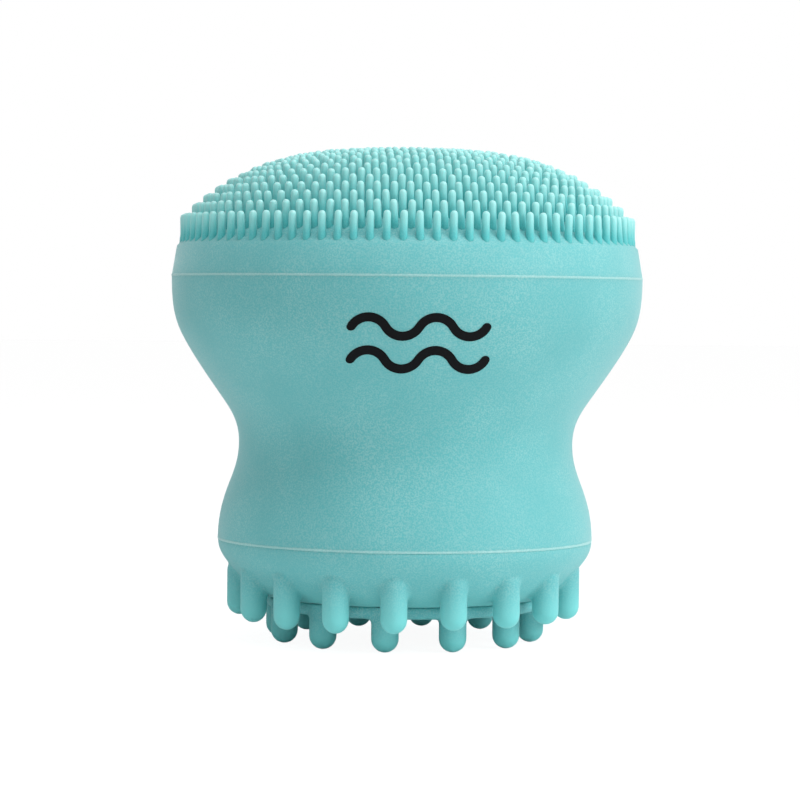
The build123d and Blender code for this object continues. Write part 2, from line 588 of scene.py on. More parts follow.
@dataclass(frozen=True)
class FoamFinish:
    """Open-celled cream foam, with painted shade inside its pores.

    Attributes:
        name: the material's name.
        colour: the colour of the cell walls.
        pore: the darker colour inside the pores, painted shade in their hollows.
        cells: how many cells there are in a metre.
        cell_span: the distances from a cell's middle where its pore ends and its wall starts.
        pore_depth: depth of the pores' relief.
        clouds: the darker clouds in it.
    """

    name: str
    colour: Colour
    pore: Colour
    cells: float = 1300.0
    cell_span: Span = (0.1, 0.55)
    pore_depth: float = 0.0003
    clouds: Clouds = Clouds(scale=160.0, detail=3.0, span=(0.4, 0.7), most=0.4, shade=0.9)

    def material(self) -> bpy.types.Material:
        """Build the material.

        Returns:
            The material.
        """
        recipe = Recipe(self.name)
        cell = recipe.node("ShaderNodeTexVoronoi", feature="F1", scale=self.cells)
        recipe.link(recipe.place, cell.inputs["Vector"])
        depth = recipe.spread(cell.outputs["Distance"], *self.cell_span, 0.0, 1.0)
        # painted shade: the pores' sunken middles are painted darker
        colour = recipe.mix(depth, self.pore, self.colour)
        recipe.feed("Base Color", recipe.clouded(colour, self.colour, self.clouds))
        recipe.set(
            Roughness=0.92, Specular_IOR_Level=0.15, Subsurface_Weight=0.15, Subsurface_Scale=0.002
        )
        recipe.bump(depth, self.pore_depth)
        return recipe.material


@dataclass(frozen=True)
class InkFinish:
    """Black pad-printing ink, slightly uneven.

    Attributes:
        name: the material's name.
        colour: the ink's colour.
        thin: its colour where it is laid thin.
        grain: how many grains there are in a metre.
        grain_depth: height of the grain.
        thin_span: the grain where the ink starts to thin and where it is thinnest.
        thin_most: the thinnest ink's share of the thin colour.
        roughness: least and greatest roughness of its surface.
    """

    name: str
    colour: Colour
    thin: Colour
    grain: float = 3200.0
    grain_depth: float = 0.00001
    thin_span: Span = (0.5, 0.75)
    thin_most: float = 0.6
    roughness: Span = (0.55, 0.7)

    def material(self) -> bpy.types.Material:
        """Build the material.

        Returns:
            The material.
        """
        recipe = Recipe(self.name)
        cover = recipe.noise(self.grain, 3.0, 0.6)
        share = recipe.spread(cover, *self.thin_span, 0.0, self.thin_most)
        recipe.feed("Base Color", recipe.mix(share, self.colour, self.thin))
        recipe.feed("Roughness", recipe.spread(cover, *NOISE_SPAN, *self.roughness))
        recipe.set(Specular_IOR_Level=0.12)
        recipe.bump(cover, self.grain_depth)
        return recipe.material


TEAL = linear(104, 190, 193)
TEAL_FLECK = linear(166, 211, 209)
# painted glow: a paler teal that stands in for light coming through thin silicone
TEAL_THIN_GLOW = linear(124, 212, 212)

HEAD_FINISH = SiliconeFinish("teal_head_silicone", TEAL, TEAL_FLECK, TEAL_THIN_GLOW, glow=0.3)
BRISTLE_FINISH = SiliconeFinish(
    "teal_bristle_silicone",
    linear(86, 190, 192),
    linear(110, 202, 203),
    # painted glow: the pale tips stand in for light coming through the thin bristle ends
    linear(172, 232, 229),
    thin_glow_attribute="along",
    grain_depth=0.000006,
    sheen=0.12,
    glow=0.45,
)
BULB_FINISH = SiliconeFinish("teal_bulb_silicone", TEAL, TEAL_FLECK, TEAL_THIN_GLOW)
# painted glow: the flash is painted paler, for light coming through the thin flash
SEAM_GLOW_FINISH = SiliconeFinish(
    "seam_glow_silicone", linear(152, 214, 213), linear(190, 230, 228), TEAL_THIN_GLOW
)
# painted glow: paler towards the bottom, full below 4.5 mm and gone above 8.5 mm, for light through
# the thin nubs
BASE_FINISH = SiliconeFinish(
    "teal_base_silicone", TEAL, TEAL_FLECK, TEAL_THIN_GLOW, thin_span=(0.0045, 0.0085), sheen=0.15
)
# painted glow: paler towards the bottom, full below 1 mm and gone above 4 mm, for light through the
# thin nubs
PLUG_FINISH = SiliconeFinish(
    "teal_plug_silicone", TEAL, TEAL_FLECK, TEAL_THIN_GLOW, thin_span=(0.001, 0.004), sheen=0.1
)
# painted shade: the second colour is painted inside the pores
SPONGE_FINISH = FoamFinish("cream_sponge_foam", linear(244, 236, 214), linear(176, 160, 128))
INK_FINISH = InkFinish("black_print_ink", linear(7, 8, 11), linear(20, 24, 28))


def dress(
    piece: bpy.types.Object, finish: SiliconeFinish | FoamFinish | InkFinish
) -> None:
    """Give a piece its material.

    Args:
        piece: the piece.
        finish: what it is made of.
    """
    piece.data.materials.clear()
    piece.data.materials.append(finish.material())


# ---- the brush -----------------------------------------------------------------------------


@dataclass
class Seams:
    """Raised lines of flash where the mouldings meet.

    Attributes:
        reach: how far a line stands out.
        side_reach: share of the reach at its upper and lower edges.
        root: how far it runs into the wall.
        height: its height on the surface.
        crest: share of the height that stands out all the way.
        ripple: how much its edge wanders.
        ripple_size: how long a ripple is.
        ripple_level: how much of the ripple lies inside the line, as a share.
        steps: facets round it.
    """

    reach: float = 0.00004
    side_reach: float = 0.3
    root: float = 0.0006
    height: float = 0.0003
    crest: float = 0.4
    ripple: float = 0.00008
    ripple_size: float = 0.0022
    ripple_level: float = 0.55
    steps: int = 360

    def flash(self, name: str, radius: float, height: float, rider: Rider) -> bpy.types.Object:
        """Model the line of flash of one seam.

        Args:
            name: the piece's name.
            radius: the wall's radius at the seam.
            height: the seam's height.
            rider: the body that the line rides on.

        Returns:
            The finished line.
        """
        half = self.height / 2
        crest = self.crest * half
        root, side = radius - self.root, radius + self.side_reach * self.reach
        outline = [
            (root, height - half),
            (side, height - half),
            (radius + self.reach, height - crest),
            (radius + self.reach, height + crest),
            (side, height + half),
            (root, height + half),
            (root, height - half),
        ]
        line = spun_form(name, outline, self.steps)
        ripple = bpy.data.textures.new(name + "_ripple", "CLOUDS")
        ripple.noise_scale = self.ripple_size
        ripple.noise_depth = 2
        worked(
            line,
            "DISPLACE",
            texture=ripple,
            texture_coords="LOCAL",
            strength=self.ripple,
            mid_level=self.ripple_level,
        )
        smooth_edges(line, ROUGH_CREASE)
        # painted glow: the flash gets the paler seam silicone
        dress(line, SEAM_GLOW_FINISH)
        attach(line, rider.value)
        return line


@dataclass
class Bulb:
    """The hollow bulb between the head and the base.

    Attributes:
        wall: thickness of its wall.
        low: height of the lower seam.
        high: height of the upper seam.
        hip: its radius at the lower seam.
        shoulder: its radius at the upper seam.
        seat: depth of the seats for the head's and the base's spigots.
        runs: Bezier runs of the outline, from the lower seam to the upper one.
        run_steps: points along each run.
        steps: facets round it.
    """

    wall: float = 0.0026
    low: float = 0.0132
    high: float = 0.0471
    hip: float = 0.0243
    shoulder: float = 0.0305
    seat: float = 0.003
    runs: tuple[tuple[Point, Point, Point, Point], ...] = (
        ((0.0243, 0.0132), (0.0243, 0.0157), (0.0238, 0.01774), (0.02311, 0.01965)),
        ((0.02311, 0.01965), (0.02246, 0.02143), (0.02165, 0.02309), (0.02165, 0.0256)),
        ((0.02165, 0.0256), (0.02165, 0.02822), (0.02272, 0.02975), (0.02391, 0.03145)),
        ((0.02391, 0.03145), (0.02556, 0.0338), (0.02746, 0.03648), (0.02869, 0.03872)),
        ((0.02869, 0.03872), (0.02992, 0.04092), (0.0305, 0.04268), (0.0305, 0.0471)),
    )
    run_steps: int = 14
    steps: int = 256

    def outline(self) -> list[Point]:
        """Outer face upwards, then back down inside, with a seat at each end.

        Returns:
            (radius, height) points round the wall's section.
        """
        outer = [point for run in self.runs for point in bezier(*run, self.run_steps)]
        outer.append(self.runs[-1][-1])
        seat_top, seat_foot = self.high - self.seat, self.low + self.seat
        inner = [
            (radius - self.wall, height)
            for radius, height in reversed(outer)
            if seat_foot < height < seat_top
        ]
        head_seat, base_seat = self.shoulder - self.wall, self.hip - self.wall
        return [
            *outer,
            (head_seat, self.high),
            (head_seat, seat_top),
            *inner,
            (base_seat, seat_foot),
            (base_seat, self.low),
            outer[0],
        ]

    def soften(self, piece: bpy.types.Object) -> bpy.types.Object:
        """Put a piece's place into its mesh.

        Args:
            piece: the bulb or what lies on it.

        Returns:
            The piece.
        """
        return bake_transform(piece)

    def build(self) -> bpy.types.Object:
        """Model and dress the bulb.

        Returns:
            The bulb.
        """
        wall = spun_form("bulb_wall", self.outline(), self.steps)
        smooth_edges(wall, CREASE)
        dress(wall, BULB_FINISH)
        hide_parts("body_shell")
        return self.soften(wall)


@dataclass
class BristledHead:
    """The domed head with its field of bristles.

    Attributes:
        wall: thickness of the dome.
        seam_radius: radius at the upper seam.
        seam_height: height of the upper seam.
        band_radius: radius at the top of the plain band.
        band_height: height of the top of the plain band.
        crown: height of the dome above the band.
        crown_power: how square the dome's shoulder is.
        outlet: radius of the foam outlet.
        chamber: radius inside the band and the spigot.
        spigot: radius of the spigot that is bonded into the bulb.
        spigot_depth: how far the spigot reaches down.
        steps: facets round the dome.
        dome_steps: points along the dome's section.
        rings: how many rings of bristles there are.
        first_ring: radius of the innermost ring.
        last_ring: radius of the outermost ring.
        pitch: spacing of the bristles along a ring.
        bristle: (radius, height) points of one bristle, from its root up.
        bristle_sides: facets round a bristle.
        bristle_crease: its edges that are sharper than this, in degrees, stay sharp.
        fade: how late the painted glow of the tips comes in, as a power of the height.
        lean: the most that a bristle leans at the rim, in degrees.
        loose: how much more it leans in the middle.
        height_spread: the most that a bristle stands higher or lower.
    """

    wall: float = 0.0026
    seam_radius: float = 0.0305
    seam_height: float = 0.0471
    band_radius: float = 0.02985
    band_height: float = 0.0509
    crown: float = 0.0097
    crown_power: float = 3.2
    outlet: float = 0.0008
    chamber: float = 0.0262
    spigot: float = 0.0278
    spigot_depth: float = 0.003
    steps: int = 256
    dome_steps: int = 44
    rings: int = 19
    first_ring: float = 0.002
    last_ring: float = 0.02895
    pitch: float = 0.00202
    bristle: tuple[Point, ...] = (
        (0.00062, -0.0014),
        (0.00056, 0.0),
        (0.0005, 0.0005),
        (0.00047, 0.00272),
        (0.0004, 0.00298),
        (0.00023, 0.00315),
        (0.0, 0.0032),
    )
    bristle_sides: int = 8
    bristle_crease: float = 80.0
    fade: float = 1.4
    lean: float = 3.0
    loose: float = 4.0
    height_spread: float = 0.00005

    def dome(self, radius: float) -> float:
        """Height of the dome's surface at a radius.

        Args:
            radius: distance from the brush's axis.

        Returns:
            The height.
        """
        return self.band_height + self.crown * (
            1 - (radius / self.band_radius) ** self.crown_power
        )

    def outline(self) -> list[Point]:
        """Band, dome, outlet, chamber and spigot, all round the head's section.

        Returns:
            (radius, height) points in order.
        """
        count = self.dome_steps
        outer = [
            self.outlet + (self.band_radius - self.outlet) * index / count
            for index in range(count, -1, -1)
        ]
        inner = [
            self.outlet + (self.chamber - self.outlet) * index / count
            for index in range(count + 1)
        ]
        foot = self.seam_height - self.spigot_depth
        return [
            (self.seam_radius, self.seam_height),
            (self.band_radius, self.band_height),
            *((radius, self.dome(radius)) for radius in outer[1:]),
            *((radius, self.dome(radius) - self.wall) for radius in inner),
            (self.chamber, foot),
            (self.spigot, foot),
            (self.spigot, self.seam_height),
            (self.seam_radius, self.seam_height),
        ]

    def one_bristle(self) -> bpy.types.Object:
        """Model one bristle on the origin, ring by ring, with the share of its length kept.

        Returns:
            The bristle, with its share in the attribute "along".
        """
        (radius, root), *rest, (_, tip) = self.bristle
        deselect_all()
        bpy.ops.mesh.primitive_circle_add(
            vertices=self.bristle_sides, radius=radius, location=(0, 0, root)
        )
        piece = bpy.context.object
        bpy.ops.object.transform_apply(location=True)
        bpy.ops.object.mode_set(mode="EDIT")
        bpy.ops.mesh.select_all(action="SELECT")
        for wide, height in rest:
            bpy.ops.mesh.extrude_edges_move(
                TRANSFORM_OT_translate={"value": (0, 0, height - root)}
            )
            share = wide / radius
            bpy.ops.transform.resize(value=(share, share, 1), center_override=(0, 0, height))
            radius, root = wide, height
        bpy.ops.mesh.extrude_edges_move(TRANSFORM_OT_translate={"value": (0, 0, tip - root)})
        bpy.ops.mesh.merge(type="CENTER")
        close_skin()
        # painted glow: its share at each vertex, rising towards the tip
        along = piece.data.attributes.new("along", "FLOAT", "POINT")
        for vertex in piece.data.vertices:
            along.data[vertex.index].value = max(vertex.co.z / tip, 0.0) ** self.fade
        return piece

    def bristle_field(self) -> bpy.types.Object:
        """Stand a bristle at every place of every ring, each with a slight lean of its own.

        Returns:
            All the bristles, as one piece.
        """
        pattern = self.one_bristle()
        draw = random.Random(SEED)
        field_of = []
        off_level = 0.01  # so that an axis drawn at random is never without a length
        spacing = (self.last_ring - self.first_ring) / (self.rings - 1)
        for ring in range(self.rings):
            radius = self.first_ring + ring * spacing
            count = round(math.tau * radius / self.pitch)
            first = FRONT + ((self.rings - 1 - ring) % 2) * math.pi / count
            for index in range(count):
                angle = first + index * math.tau / count
                place = Vector(
                    (
                        radius * math.cos(angle),
                        radius * math.sin(angle),
                        self.dome(radius) - abs(draw.gauss(0, self.height_spread)),
                    )
                )
                most = self.lean + self.loose * (1 - radius / self.last_ring)
                lean = Matrix.Rotation(
                    math.radians(draw.uniform(0, most)),
                    4,
                    Vector((draw.uniform(-1, 1), draw.uniform(-1, 1), off_level)),
                )
                field_of.append(copied(pattern, Matrix.Translation(place) @ lean))
        remove(pattern)
        return joined("bristle_field", field_of)

    def build(self) -> list[bpy.types.Object]:
        """Model and dress the dome and its bristles.

        Returns:
            The dome and the bristles.
        """
        dome = spun_form("head_dome", self.outline(), self.steps)
        smooth_edges(dome, CREASE)
        dress(dome, HEAD_FINISH)
        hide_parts("brush_head")
        bristles = self.bristle_field()
        smooth_edges(bristles, self.bristle_crease)
        dress(bristles, BRISTLE_FINISH)
        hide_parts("bristles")
        for piece in (dome, bristles):
            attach(piece, Rider.HEAD.value)
        return [dome, bristles]


@dataclass
class PrintedWaves:
    """Two wavy strokes of ink, laid on the bulb.

    Attributes:
        bulb: the wall that the print lies on.
        soften: what puts a stroke's place into its mesh.
        stroke: width of a stroke.
        half_wave: length of each crest and each trough.
        half_waves: how many of them a stroke has.
        bend: radius of their arcs.
        upper: height of the upper stroke.
        lower: height of the lower one.
        bend_steps: facets along an arc.
        cap: length of a stroke's last facet, as a share of its inner edge's natural length.
        rounding: rounding of its ends, as a share of its width.
        round_steps: facets round an end's corner.
        crease: its edges that are sharper than this, in degrees, stay sharp.
        proud: how far the ink stands out.
        thickness: thickness of the ink.
        clear: how far in front of the brush's axis a stroke is drawn.
    """

    bulb: bpy.types.Object
    soften: Callable[[bpy.types.Object], bpy.types.Object]
    stroke: float = 0.0011
    half_wave: float = 0.0041
    half_waves: int = 4
    bend: float = 0.0024
    upper: float = 0.0409
    lower: float = 0.0369
    bend_steps: int = 14
    cap: float = 1.04
    rounding: float = 0.49
    round_steps: int = 6
    crease: float = 50.0
    proud: float = 0.00004
    thickness: float = 0.0001
    clear: float = 0.05

    def flat_stroke(self, name: str, height: float) -> bpy.types.Object:
        """Spin a short edge round a crest, a trough and so on, and stay in edit mode.

        Args:
            name: the new piece's name.
            height: height of the stroke's middle.

        Returns:
            The stroke, flat and square-ended, in edit mode.
        """
        half = self.stroke / 2
        turn = math.asin(self.half_wave / 2 / self.bend)
        sink = self.bend * math.cos(turn)
        past = half / self.bend
        hearts = []
        for index in range(self.half_waves):
            side = 1 if index % 2 == 0 else -1
            across = (index + 0.5 - self.half_waves / 2) * self.half_wave
            hearts.append((side, Vector((across, -self.clear, height - side * sink))))
        side, heart = hearts[0]
        start = QUARTER + turn + past
        out = Vector((math.cos(start), 0, side * math.sin(start)))
        piece = start_outline(name, heart + out * (self.bend - half))
        bpy.ops.mesh.extrude_vertices_move(TRANSFORM_OT_translate={"value": out * self.stroke})
        bpy.ops.mesh.select_all(action="SELECT")
        cap = self.cap * half / (self.bend - half)
        for index, (side, heart) in enumerate(hearts):
            spans = [(self.bend_steps, 2 * turn)]
            if index == 0:
                spans = [(1, cap), (self.bend_steps, 2 * turn + past - cap)]
            elif index == len(hearts) - 1:
                spans = [(self.bend_steps, 2 * turn + past - cap), (1, cap)]
            for steps, angle in spans:
                bpy.ops.mesh.spin(steps=steps, angle=-side * angle, center=heart, axis=(0, 1, 0))
        return piece

    def round_ends(self, piece: bpy.types.Object) -> None:
        """Bevel a flat stroke's four corners, which are the vertices with only two edges.

        Args:
            piece: the stroke, in edit mode; it is left in object mode, facing the front.
        """
        bpy.ops.mesh.select_all(action="SELECT")
        bpy.ops.mesh.remove_doubles(threshold=WELD)
        bpy.ops.object.mode_set(mode="OBJECT")
        mesh = piece.data
        uses = Counter(vertex for edge in mesh.edges for vertex in edge.vertices)
        for part in (*mesh.polygons, *mesh.edges):
            part.select = False
        for vertex in mesh.vertices:
            vertex.select = uses[vertex.index] == 2
        bpy.ops.object.mode_set(mode="EDIT")
        bpy.ops.mesh.bevel(
            offset=self.rounding * self.stroke,
            segments=self.round_steps,
            affect="VERTICES",
            clamp_overlap=False,
        )
        bpy.ops.mesh.select_all(action="SELECT")
        bpy.ops.mesh.normals_make_consistent(inside=False)
        bpy.ops.object.mode_set(mode="OBJECT")
        if mesh.polygons[0].normal.y > 0:
            mesh.flip_normals()

    def laid_stroke(self, name: str, height: float, node: str) -> bpy.types.Object:
        """Draw a stroke, lay it on the bulb, thicken and dress it.

        Args:
            name: the piece's name.
            height: height of the stroke's middle.
            node: the CAD node that it replaces.

        Returns:
            The finished stroke.
        """
        piece = self.flat_stroke(name, height)
        self.round_ends(piece)
        worked(
            piece,
            "SHRINKWRAP",
            target=self.bulb,
            wrap_method="PROJECT",
            wrap_mode="ABOVE_SURFACE",
            use_project_y=True,
            use_positive_direction=True,
            use_negative_direction=False,
            offset=self.proud,
        )
        worked(piece, "SOLIDIFY", thickness=self.thickness, offset=-1.0)
        smooth_edges(piece, self.crease)
        dress(piece, INK_FINISH)
        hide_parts(node)
        return self.soften(piece)

    def build(self) -> list[bpy.types.Object]:
        """Model and dress both strokes.

        Returns:
            The upper stroke and the lower one.
        """
        return [
            self.laid_stroke("upper_wave_ink", self.upper, "upper_wave_print"),
            self.laid_stroke("lower_wave_ink", self.lower, "lower_wave_print"),
        ]


@dataclass
class NubRing:
    """A ring of round-ended nubs that hang from a moulding.

    Attributes:
        count: how many nubs there are.
        radius: radius of a nub.
        ring: radius of the ring.
        phase: where the first one is, in degrees from the front.
        tip: height of the tips.
        root: height of the roots, inside the moulding.
        flare: how much wider a nub is at its root.
        flare_height: where the flare starts.
        flare_power: how late it opens.
        sides: facets round a nub.
        cap_steps: facets from its tip to its side.
        longer: how much longer some nubs are, by their place in the ring.
    """

    count: int
    radius: float
    ring: float
    phase: float
    tip: float
    root: float
    flare: float
    flare_height: float
    flare_power: float = 2.2
    sides: int = 32
    cap_steps: int = 10
    longer: dict[int, float] = field(default_factory=dict)

    def outline(self) -> list[Point]:
        """Half of a nub's section, from the tip up.

        Returns:
            (radius, height) points in order.
        """
        cap = [
            (self.radius * across, self.tip + self.radius * up)
            for across, up in quarter_turn(self.cap_steps)
        ]
        rise = self.root - self.flare_height
        flare = [
            (self.radius + self.flare * share**self.flare_power, self.flare_height + rise * share)
            for share in (0.0, 0.25, 0.5, 0.75, 1.0)
        ]
        return [*cap, *flare, (0.0, self.root)]

    def nubs(self) -> list[bpy.types.Object]:
        """Model one nub and copy it round the ring.

        Returns:
            The nubs.
        """
        pattern = spun_form("nub", self.outline(), self.sides)
        around = []
        for index in range(self.count):
            angle = FRONT + math.radians(self.phase) + index * math.tau / self.count
            stretch = 1 + self.longer.get(index, 0.0) / (self.root - self.tip)
            place = (
                Matrix.Rotation(angle, 4, "Z")
                @ Matrix.Translation((self.ring, 0, self.root))
                @ Matrix.Diagonal((1, 1, stretch, 1))
                @ Matrix.Translation((0, 0, -self.root))
            )
            around.append(copied(pattern, place))
        remove(pattern)
        return around


def fused(
    name: str,
    pieces: Sequence[bpy.types.Object],
    voxel: float,
    soft: Callable[[Vector], float],
    passes: int,
) -> bpy.types.Object:
    """Fuse a moulding and its nubs into one skin and soften where they meet.

    Args:
        name: the new piece's name.
        pieces: the moulding and its nubs.
        voxel: size of the remesh.
        soft: a function from a vertex's place to how far it is softened.
        passes: how often the soft places are smoothed.

    Returns:
        The fused piece.
    """
    piece = joined(name, pieces)
    worked(piece, "REMESH", mode="VOXEL", voxel_size=voxel, use_smooth_shade=True)
    worked(piece, "SMOOTH", factor=SMOOTHING, iterations=SKIN_PASSES)
    group = grouped(piece, "roots", soft)
    worked(piece, "SMOOTH", factor=SMOOTHING, iterations=passes, vertex_group=group)
    piece.vertex_groups.clear()
    return piece


@dataclass
class NubbedBase:
    """The base: a collar bonded into the bulb, a bowl-shaped floor and the outer nubs.

    Attributes:
        seam_radius: radius at the lower seam.
        seam_height: height of the lower seam.
        seam_pull: height of the handle under the seam, which gives the bowl its bend.
        heel: (radius, height) of the bowl's turn.
        heel_pulls: the handles above and below the heel.
        land_pull: the handle that reaches the land.
        land_radius: outer radius of the land for the plug's flange.
        land_height: height of the land.
        opening: radius of the opening for the plug.
        floor_height: height of the floor's top.
        bore: radius inside the collar.
        bore_height: where the floor runs into the bore.
        spigot: radius of the collar's spigot.
        spigot_height: height of its top.
        run_steps: points along each run of the bowl.
        steps: facets round the collar.
        voxel: size of the fused mesh.
        soft_height: height of the middle of the softened band round the nubs' roots.
        soft_reach: how far it goes up and down.
        soft_start: how far outside the land it starts.
        passes: how often it is smoothed.
        nubs: the ring of outer nubs.
    """

    seam_radius: float = 0.0243
    seam_height: float = 0.0132
    seam_pull: float = 0.01144
    heel: Point = (0.02245, 0.0094)
    heel_pulls: tuple[Point, Point] = ((0.02329, 0.01043), (0.02126, 0.00794))
    land_pull: Point = (0.02008, 0.00655)
    land_radius: float = 0.01795
    land_height: float = 0.0058
    opening: float = 0.01555
    floor_height: float = 0.0084
    bore: float = 0.02
    bore_height: float = 0.0106
    spigot: float = 0.0216
    spigot_height: float = 0.0162
    run_steps: int = 14
    steps: int = 192
    voxel: float = 0.00028
    soft_height: float = 0.0086
    soft_reach: float = 0.002
    soft_start: float = 0.0004
    passes: int = 1
    nubs: NubRing = field(
        default_factory=lambda: NubRing(
            count=18,
            radius=0.0017,
            ring=0.0214,
            phase=-6.35,
            tip=0.00325,
            root=0.0095,
            flare=0.0,
            flare_height=0.0078,
            longer={0: 0.0004, 15: 0.0003, 16: 0.0006, 17: 0.0006},
        )
    )

    def outline(self) -> list[Point]:
        """The collar's and the floor's section, from the lower seam inwards and back.

        Returns:
            (radius, height) points in order.
        """
        seam, land = (self.seam_radius, self.seam_height), (self.land_radius, self.land_height)
        above, below = self.heel_pulls
        return [
            *bezier(seam, (self.seam_radius, self.seam_pull), above, self.heel, self.run_steps),
            *bezier(self.heel, below, self.land_pull, land, self.run_steps),
            land,
            (self.opening, self.land_height),
            (self.opening, self.floor_height),
            (self.land_radius, self.floor_height),
            (self.bore, self.bore_height),
            (self.bore, self.spigot_height),
            (self.spigot, self.spigot_height),
            (self.spigot, self.seam_height),
            seam,
        ]

    def softness(self, place: Vector) -> float:
        """How far a place is softened: only round the nubs' roots.

        Args:
            place: a vertex's place.

        Returns:
            A share from 0 to 1.
        """
        radius = math.hypot(place.x, place.y)
        if radius < self.land_radius + self.soft_start:
            return 0.0
        return max(0.0, 1 - abs(place.z - self.soft_height) / self.soft_reach)

    def build(self) -> bpy.types.Object:
        """Model and dress the base.

        Returns:
            The base.
        """
        parts = [spun_form("collar", self.outline(), self.steps), *self.nubs.nubs()]
        base = fused("nubbed_base", parts, self.voxel, self.softness, self.passes)
        dress(base, BASE_FINISH)
        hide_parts("base_ring")
        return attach(base, Rider.BULB.value)


@dataclass
class NubbedPlug:
    """The bottom plug: a plate with a flange, a neck and the inner nubs.

    Attributes:
        underside: height of the plate's underside.
        plate: thickness of the plate.
        flange: radius of the flange.
        land_height: height of the flange's top.
        neck: radius of the neck.
        neck_height: height of its top.
        neck_wall: thickness of its wall.
        edge: rounding of the flange's lower rim.
        edge_steps: facets round it.
        chamfer: size of the chamfer of its upper rim.
        steps: facets round the plate.
        voxel: size of the fused mesh.
        soft_reach: how far above and below the underside the nubs' roots are softened.
        soft_inset: how far inside the nubs' ring that starts, in radii of a nub.
        passes: how often they are smoothed.
        nubs: the ring of inner nubs.
    """

    underside: float = 0.0042
    plate: float = 0.0026
    flange: float = 0.01795
    land_height: float = 0.0058
    neck: float = 0.0155
    neck_height: float = 0.0094
    neck_wall: float = 0.0022
    edge: float = 0.0009
    edge_steps: int = 5
    chamfer: float = 0.0002
    steps: int = 160
    voxel: float = 0.00025
    soft_reach: float = 0.0012
    soft_inset: float = 2.2
    passes: int = 10
    nubs: NubRing = field(
        default_factory=lambda: NubRing(
            count=12,
            radius=0.00175,
            ring=0.0165,
            phase=-11.2,
            tip=0.0,
            root=0.0058,
            flare=0.0002,
            flare_height=0.0036,
        )
    )

    def outline(self) -> list[Point]:
        """Half of the plug's section, from the middle of its underside round to its top.

        Returns:
            (radius, height) points in order.
        """
        rim = [
            (self.flange - self.edge * (1 - across), self.underside + self.edge * up)
            for across, up in quarter_turn(self.edge_steps)
        ]
        inside = self.neck - self.neck_wall
        return [
            (0.0, self.underside),
            *rim,
            (self.flange, self.land_height - self.chamfer),
            (self.flange - self.chamfer, self.land_height),
            (self.neck, self.land_height),
            (self.neck, self.neck_height),
            (inside, self.neck_height),
            (inside, self.underside + self.plate),
            (0.0, self.underside + self.plate),
        ]

    def softness(self, place: Vector) -> float:
        """How far a place is softened: only round the nubs' roots.

        Args:
            place: a vertex's place.

        Returns:
            A share from 0 to 1.
        """
        radius = math.hypot(place.x, place.y)
        if radius < self.nubs.ring - self.soft_inset * self.nubs.radius:
            return 0.0
        return max(0.0, 1 - abs(place.z - self.underside) / self.soft_reach)

    def build(self) -> bpy.types.Object:
        """Model and dress the plug.

        Returns:
            The plug.
        """
        parts = [spun_form("plate", self.outline(), self.steps), *self.nubs.nubs()]
        plug = fused("nubbed_plug", parts, self.voxel, self.softness, self.passes)
        dress(plug, PLUG_FINISH)
        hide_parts("bottom_plug")
        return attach(plug, Rider.PLUG.value)


@dataclass
class FoamingSponge:
    """The sponge that stands in the bulb and foams the cleanser.

    Attributes:
        radius: its radius.
        foot: height of its underside.
        height: its height.
        edge: rounding of its edges.
        edge_steps: facets round them.
        sides: facets round the sponge.
        voxel: size of its mesh.
        pore_size: size of its pores.
        pore_depth: depth of its pores.
        pore_contrast: how steep their sides are.
    """

    radius: float = 0.01425
    foot: float = 0.0097
    height: float = 0.03
    edge: float = 0.0015
    edge_steps: int = 6
    sides: int = 96
    voxel: float = 0.00036
    pore_size: float = 0.0011
    pore_depth: float = 0.0005
    pore_contrast: float = 1.3

    def build(self) -> bpy.types.Object:
        """Model and dress the sponge.

        Returns:
            The sponge.
        """
        deselect_all()
        bpy.ops.mesh.primitive_cylinder_add(
            vertices=self.sides,
            radius=self.radius,
            depth=self.height,
            location=(0, 0, self.foot + self.height / 2),
        )
        sponge = bpy.context.object
        sponge.name = sponge.data.name = "sponge_foam"
        bpy.ops.object.transform_apply(location=True)
        worked(sponge, "BEVEL", width=self.edge, segments=self.edge_steps, limit_method="ANGLE")
        worked(sponge, "REMESH", mode="VOXEL", voxel_size=self.voxel)
        pores = bpy.data.textures.new("sponge_pores", "VORONOI")
        pores.noise_scale = self.pore_size
        pores.noise_intensity = self.pore_contrast
        worked(
            sponge,
            "DISPLACE",
            texture=pores,
            texture_coords="LOCAL",
            strength=self.pore_depth,
            mid_level=1.0,
        )
        smooth_edges(sponge, ROUGH_CREASE)
        dress(sponge, SPONGE_FINISH)
        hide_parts("foaming_sponge")
        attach(sponge, Rider.SPONGE.value)
        return sponge


# ---- studio --------------------------------------------------------------------------------


@dataclass(frozen=True)
class Lamp:
    """A square soft light that faces the brush.

    Attributes:
        name: its name.
        place: where it hangs.
        size: its width.
        power: its power in watts.
        aim: the place that it faces.
    """

    name: str
    place: tuple[float, float, float]
    size: float
    power: float
    aim: tuple[float, float, float] = (0.0, 0.0, 0.03)

    def build(self) -> None:
        """Hang the lamp."""
        deselect_all()
        bpy.ops.object.light_add(type="AREA", location=self.place)
        lamp = bpy.context.object
        lamp.name = self.name
        lamp.data.size = self.size
        lamp.data.energy = self.power
        aim = Vector(self.aim) - Vector(self.place)
        lamp.rotation_euler = aim.to_track_quat("-Z", "Y").to_euler()


